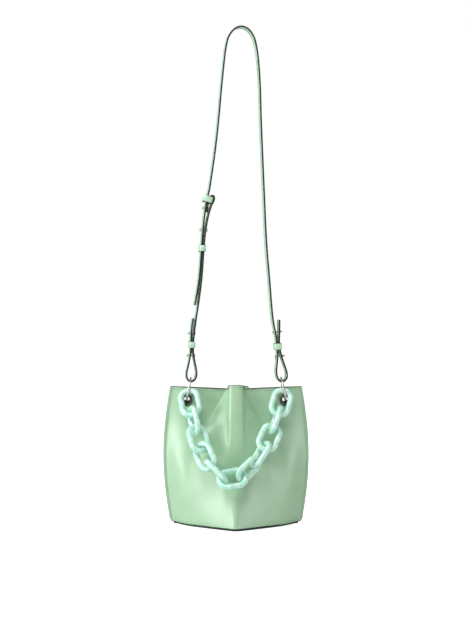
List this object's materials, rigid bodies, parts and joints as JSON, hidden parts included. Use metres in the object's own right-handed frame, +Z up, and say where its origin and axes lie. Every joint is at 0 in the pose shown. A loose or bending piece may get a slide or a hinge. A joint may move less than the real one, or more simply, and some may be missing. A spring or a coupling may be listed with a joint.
{
  "type": "bucket bag",
  "caption": "Small origami-folded leather bucket bag with a diamond base, an adjustable shoulder strap and a decorative chain of oval links swagged across the front.",
  "frame": {"origin": "centre of the diamond base on the ground", "axes": "+Z up, the front with the chain faces -Y, +X to the right as seen from the front"},
  "size_m": [0.202, 0.1445, 0.6966],
  "materials": {
    "leather": "satin smooth mint",
    "facing_leather": "satin smooth mint",
    "lining_fabric": "woven twill",
    "board": "matt stiffener",
    "base_leather": "satin, dark painted edge",
    "strap_leather": "satin, dark painted edges",
    "keeper_leather": "satin",
    "metal": "polished",
    "acrylic": "marbled mint and white, polished"
  },
  "bodies": {
    "bag": {"front_panel": "leather", "back_panel": "leather", "front_facing": "facing_leather", "back_facing": "facing_leather", "front_lining": "lining_fabric", "back_lining": "lining_fabric", "inner_pocket": "lining_fabric", "base_panel": "base_leather", "base_board": "board", "base_lining": "lining_fabric", "snap_socket": "metal", "snap_stud": "metal", "eyelets": "metal", "eyelet_washers": "metal"},
    "left_ring": {"left_ring": "metal"},
    "right_ring": {"right_ring": "metal"},
    "strap": {"long_strap": "strap_leather", "short_strap": "strap_leather", "stud_knobs": "metal", "stud_screws": "metal"},
    "keeper_right_lower": {"keeper_right_lower": "keeper_leather"},
    "keeper_left_lower": {"keeper_left_lower": "keeper_leather"},
    "keeper_left_middle": {"keeper_left_middle": "keeper_leather"},
    "keeper_left_upper": {"keeper_left_upper": "keeper_leather"},
    "link_01": {"link_01": "acrylic"},
    "link_02": {"link_02": "acrylic"},
    "link_03": {"link_03": "acrylic"},
    "link_04": {"link_04": "acrylic"},
    "link_05": {"link_05": "acrylic"},
    "link_06": {"link_06": "acrylic"},
    "link_07": {"link_07": "acrylic"},
    "link_08": {"link_08": "acrylic"},
    "link_09": {"link_09": "acrylic"},
    "link_10": {"link_10": "acrylic"},
    "link_11": {"link_11": "acrylic"}
  },
  "joints": [
    {"name": "left_ring_turn", "type": "hinge", "parent": "bag", "child": "left_ring", "pos_m": [-0.0662, -0.0034, 0.1897], "axis": [0.9815, 0.0171, -0.1908], "continuous": true},
    {"name": "right_ring_turn", "type": "hinge", "parent": "bag", "child": "right_ring", "pos_m": [0.0662, -0.0034, 0.1897], "axis": [0.9815, 0.0171, 0.1908], "continuous": true},
    {"name": "strap_swing", "type": "hinge", "parent": "bag", "child": "strap", "pos_m": [0, -0.0034, 0.1897], "axis": [1, 0, 0], "range_deg": [-40, 0]},
    {"name": "chain_swing", "type": "hinge", "parent": "bag", "child": "link_01", "pos_m": [-0.067, -0.0135, 0.1874], "axis": [1, 0, 0], "range_deg": [-120, 0]},
    {"name": "chain_swing_right", "type": "hinge", "parent": "bag", "child": "link_11", "pos_m": [0.067, -0.0135, 0.1874], "axis": [1, 0, 0], "range_deg": [-120, 0]},
    {"name": "link_02_bend", "type": "hinge", "parent": "link_01", "child": "link_02", "pos_m": [-0.06133, -0.02573, 0.15926], "axis": [1, 0, 0], "range_deg": [-8, 0]},
    {"name": "link_10_bend", "type": "hinge", "parent": "link_11", "child": "link_10", "pos_m": [0.05921, -0.02555, 0.15969], "axis": [1, 0, 0], "range_deg": [-8, 0]},
    {"name": "link_03_bend", "type": "hinge", "parent": "link_02", "child": "link_03", "pos_m": [-0.05535, -0.03624, 0.13511], "axis": [1, 0, 0], "range_deg": [-8, 0]},
    {"name": "link_09_bend", "type": "hinge", "parent": "link_10", "child": "link_09", "pos_m": [0.05087, -0.03579, 0.13613], "axis": [1, 0, 0], "range_deg": [-8, 0]},
    {"name": "link_04_bend", "type": "hinge", "parent": "link_03", "child": "link_04", "pos_m": [-0.04779, -0.04657, 0.11133], "axis": [1, 0, 0], "range_deg": [-2.8, 0]},
    {"name": "link_08_bend", "type": "hinge", "parent": "link_09", "child": "link_08", "pos_m": [0.04048, -0.04573, 0.11327], "axis": [1, 0, 0], "range_deg": [-2.8, 0]},
    {"name": "link_05_bend", "type": "hinge", "parent": "link_04", "child": "link_05", "pos_m": [-0.03735, -0.05651, 0.08849], "axis": [1, 0, 0], "range_deg": [-8, 0]},
    {"name": "link_07_bend", "type": "hinge", "parent": "link_08", "child": "link_07", "pos_m": [0.02711, -0.05511, 0.09171], "axis": [1, 0, 0], "range_deg": [-8, 0]},
    {"name": "link_06_roll", "type": "hinge", "parent": "link_05", "child": "link_06", "pos_m": [-0.01806, -0.06512, 0.06869], "axis": [0.9848, 0.0695, 0.1594], "range_deg": [-8, 5]},
    {"name": "keeper_right_lower_slide", "type": "slide", "parent": "strap", "child": "keeper_right_lower", "axis": [-0.04, 0, 0.9992], "range_m": [-0.002, 0.003]},
    {"name": "keeper_left_lower_slide", "type": "slide", "parent": "strap", "child": "keeper_left_lower", "axis": [0, 0, 1], "range_m": [-0.003, 0.003]},
    {"name": "keeper_left_middle_slide", "type": "slide", "parent": "strap", "child": "keeper_left_middle", "axis": [0.0599, 0, 0.9982], "range_m": [-0.003, 0.003]},
    {"name": "keeper_left_upper_slide", "type": "slide", "parent": "strap", "child": "keeper_left_upper", "axis": [0.3387, 0, 0.9409], "range_m": [-0.0015, 0]}
  ],
  "couplings": [
    {"joint": "chain_swing_right", "follows": "chain_swing", "ratio": 1},
    {"joint": "link_10_bend", "follows": "link_02_bend", "ratio": 0.99504},
    {"joint": "link_09_bend", "follows": "link_03_bend", "ratio": 0.98392},
    {"joint": "link_08_bend", "follows": "link_04_bend", "ratio": 0.95192},
    {"joint": "link_07_bend", "follows": "link_05_bend", "ratio": 0.828}
  ]
}
